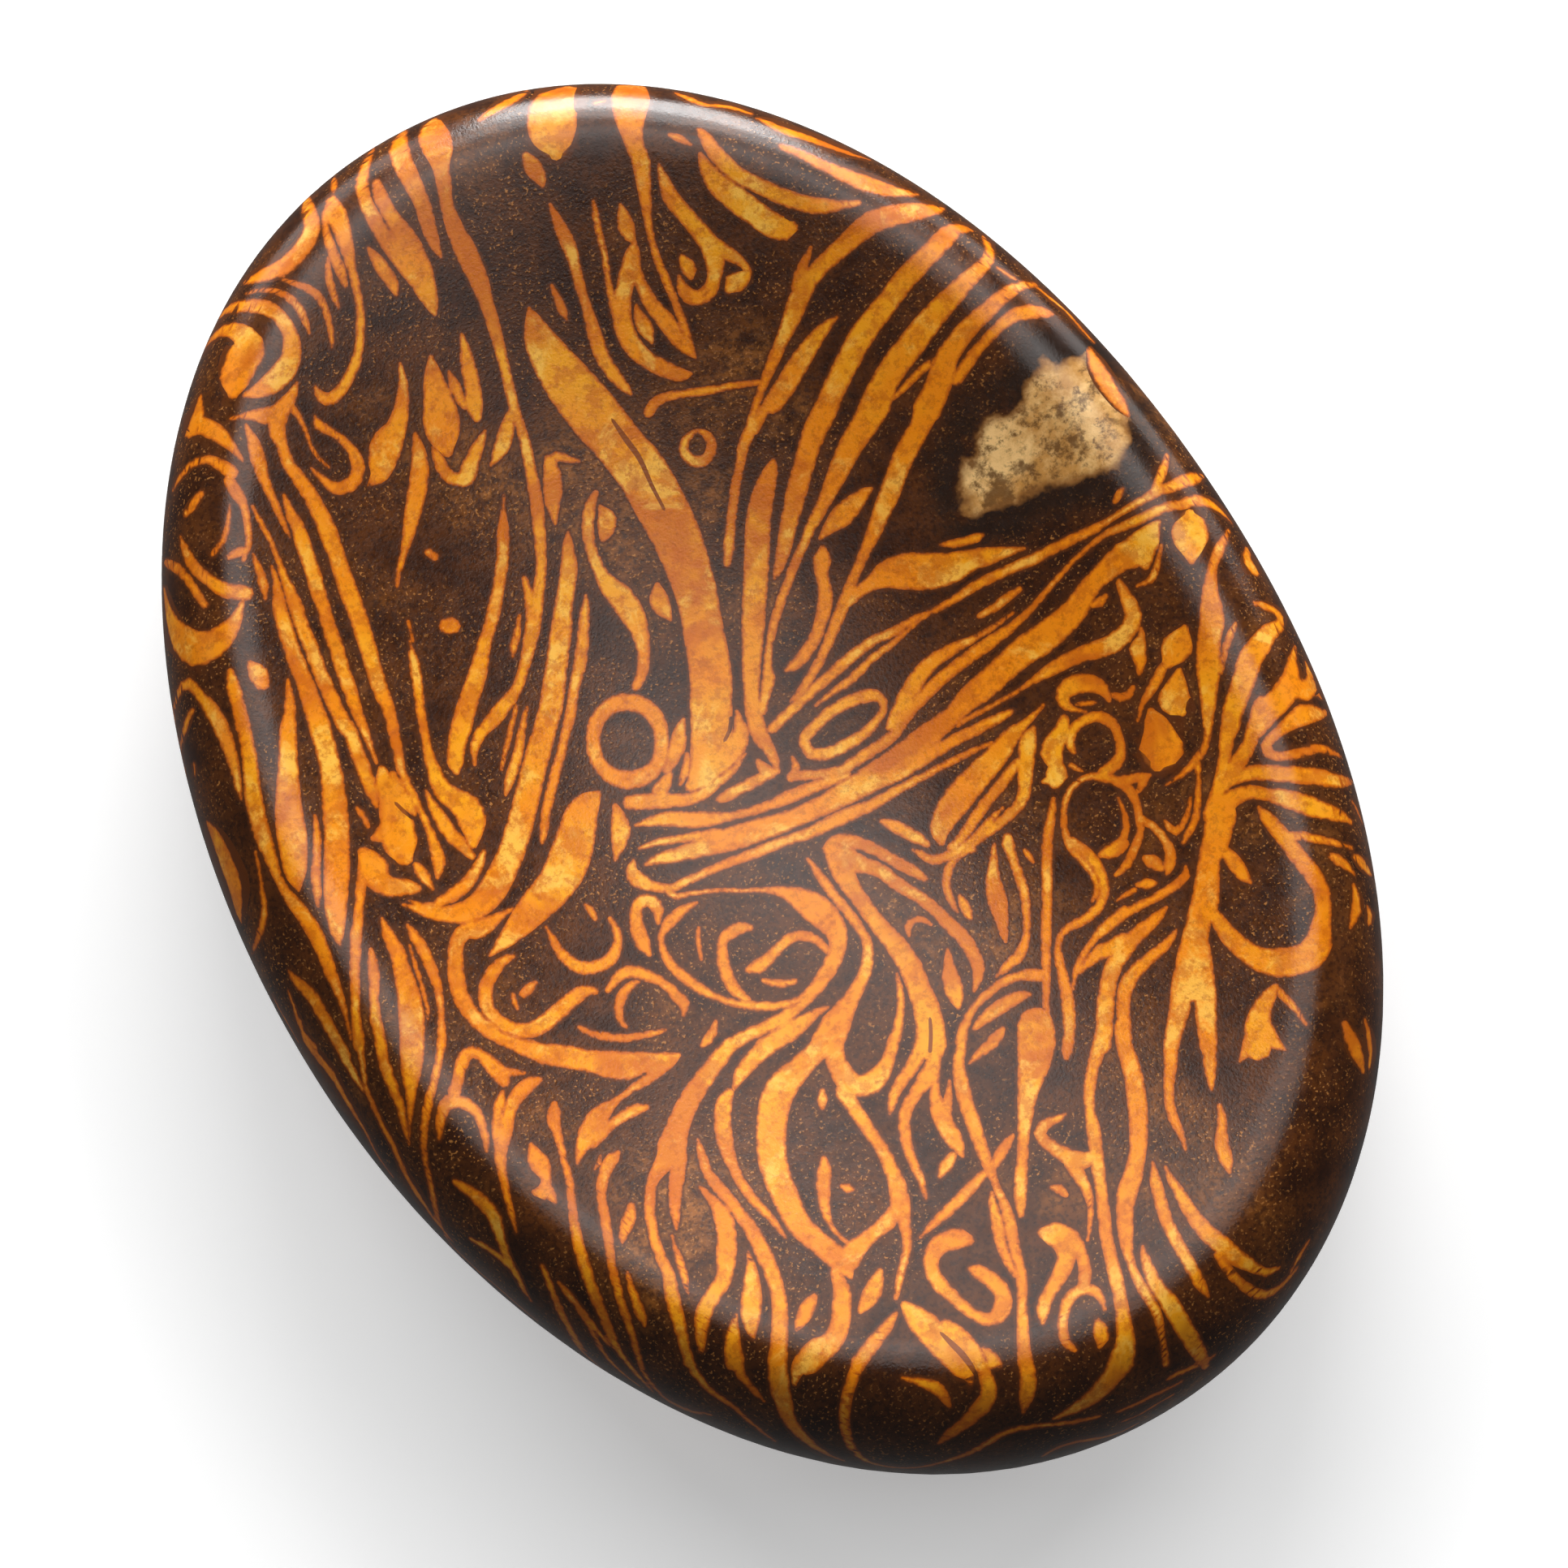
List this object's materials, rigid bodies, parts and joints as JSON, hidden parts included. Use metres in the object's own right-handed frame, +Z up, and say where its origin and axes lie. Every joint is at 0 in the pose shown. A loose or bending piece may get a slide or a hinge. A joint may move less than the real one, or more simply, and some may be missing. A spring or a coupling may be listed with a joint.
{
  "type": "worry stone",
  "caption": "Oval palm stone of polished mariyam jasper with a rounded rim, a shallow hollow for the thumb and a small flat spot underneath to rest on.",
  "frame": {"origin": "on the flat spot the stone rests on, under the middle of its outline", "axes": "+Z up out of the thumb hollow, +Y along the long axis, +X across the stone"},
  "size_m": [0.0318, 0.045, 0.0076],
  "materials": {
    "jasper": "satin polish, dark brown ground crossed by orange and rust coloured strands"
  },
  "bodies": {
    "root": {"worry_stone": "jasper"}
  },
  "joints": []
}
